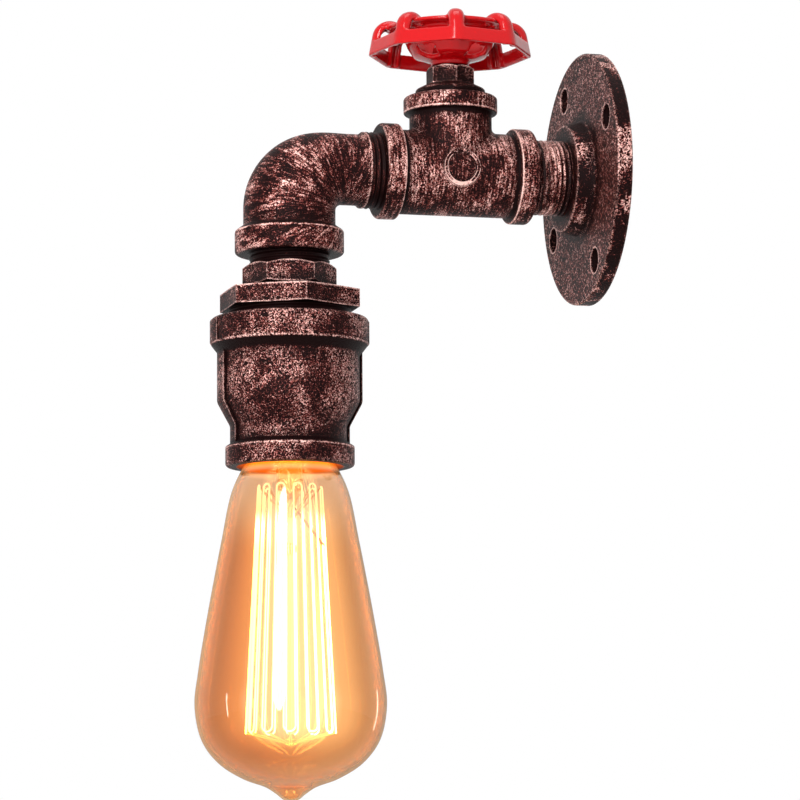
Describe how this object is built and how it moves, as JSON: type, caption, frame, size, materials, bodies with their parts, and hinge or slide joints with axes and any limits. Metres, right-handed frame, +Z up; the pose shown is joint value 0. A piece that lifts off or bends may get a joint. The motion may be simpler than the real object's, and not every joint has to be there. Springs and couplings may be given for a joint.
{
  "type": "wall_light",
  "caption": "Wall light made of black and copper rubbed pipe fittings, with a red handwheel switch on a tee and a pear-shaped amber filament bulb",
  "frame": {"origin": "Centre of the flange's back, on the wall, at the centre of its circle of screw holes", "axes": "+X across the wall, to the right for someone who faces it; +Y into the wall, along the arm's axis; +Z up, along the wheel's spindle"},
  "size_m": [0.088, 0.1421, 0.2704],
  "materials": {
    "antique_iron": "black antique finish on sand-cast iron, rubbed back to copper red on raised edges, satin",
    "red_enamel": "glossy red paint on pressed steel",
    "zinc_steel": "zinc plated, slightly dull",
    "brass": "plain turned and stamped brass",
    "packing_fibre": "pressed red fibre, matt",
    "black_plastic": "moulded thermoset, matt",
    "white_plastic": "moulded nylon, matt",
    "porcelain": "white glazed porcelain",
    "amber_glass": "thin blown glass, amber tinted, clear and glossy",
    "clear_glass": "clear lead glass, drawn",
    "black_glass": "black vitrified insulator, glossy",
    "cap_brass": "rolled brass cap, satin",
    "solder": "tinned contact, dull",
    "lead_wire_metal": "drawn nickel wire, satin",
    "glowing_tungsten": "tungsten wire, lit",
    "live_insulation": "extruded brown insulation, matt",
    "neutral_insulation": "extruded blue insulation, matt"
  },
  "bodies": {
    "lamp": {"wall_flange": "antique_iron", "flange_nipple": "antique_iron", "tee": "antique_iron", "valve_bonnet": "antique_iron", "gland_packing": "packing_fibre", "packing_nut": "antique_iron", "switch_housing": "black_plastic", "switch_cap": "black_plastic", "switch_contacts": "brass", "street_elbow": "antique_iron", "hex_nipple": "antique_iron", "hex_bushing": "antique_iron", "reducer_coupling": "antique_iron", "lampholder_washer": "packing_fibre", "lampholder_body": "porcelain", "lampholder_shell": "brass", "lampholder_contact": "brass", "lampholder_terminals": "brass", "lampholder_screws": "zinc_steel", "supply_connector": "white_plastic", "connector_screws": "zinc_steel", "wire_supply_live": "live_insulation", "wire_switched_live": "live_insulation", "wire_neutral": "neutral_insulation"},
    "wheel": {"handwheel": "red_enamel", "valve_spindle": "brass", "wheel_screw": "zinc_steel", "wheel_washer": "zinc_steel", "switch_rotor": "white_plastic"},
    "bulb": {"bulb_glass": "amber_glass", "bulb_screw_base": "cap_brass", "bulb_base_insulator": "black_glass", "bulb_tip_contact": "solder", "bulb_stem": "clear_glass", "bulb_centre_rod": "clear_glass", "bulb_filament": "glowing_tungsten", "bulb_upper_supports": "lead_wire_metal", "bulb_lower_supports": "lead_wire_metal", "bulb_lead_wires": "lead_wire_metal"}
  },
  "joints": [
    {"name": "wheel_turn", "type": "hinge", "parent": "lamp", "child": "wheel", "pos_m": [0, -0.052, 0.0415], "axis": [0, 0, 1], "continuous": true},
    {"name": "bulb_out", "type": "slide", "parent": "lamp", "child": "bulb", "axis": [0, 0, -1], "range_m": [0, 0.04]}
  ]
}
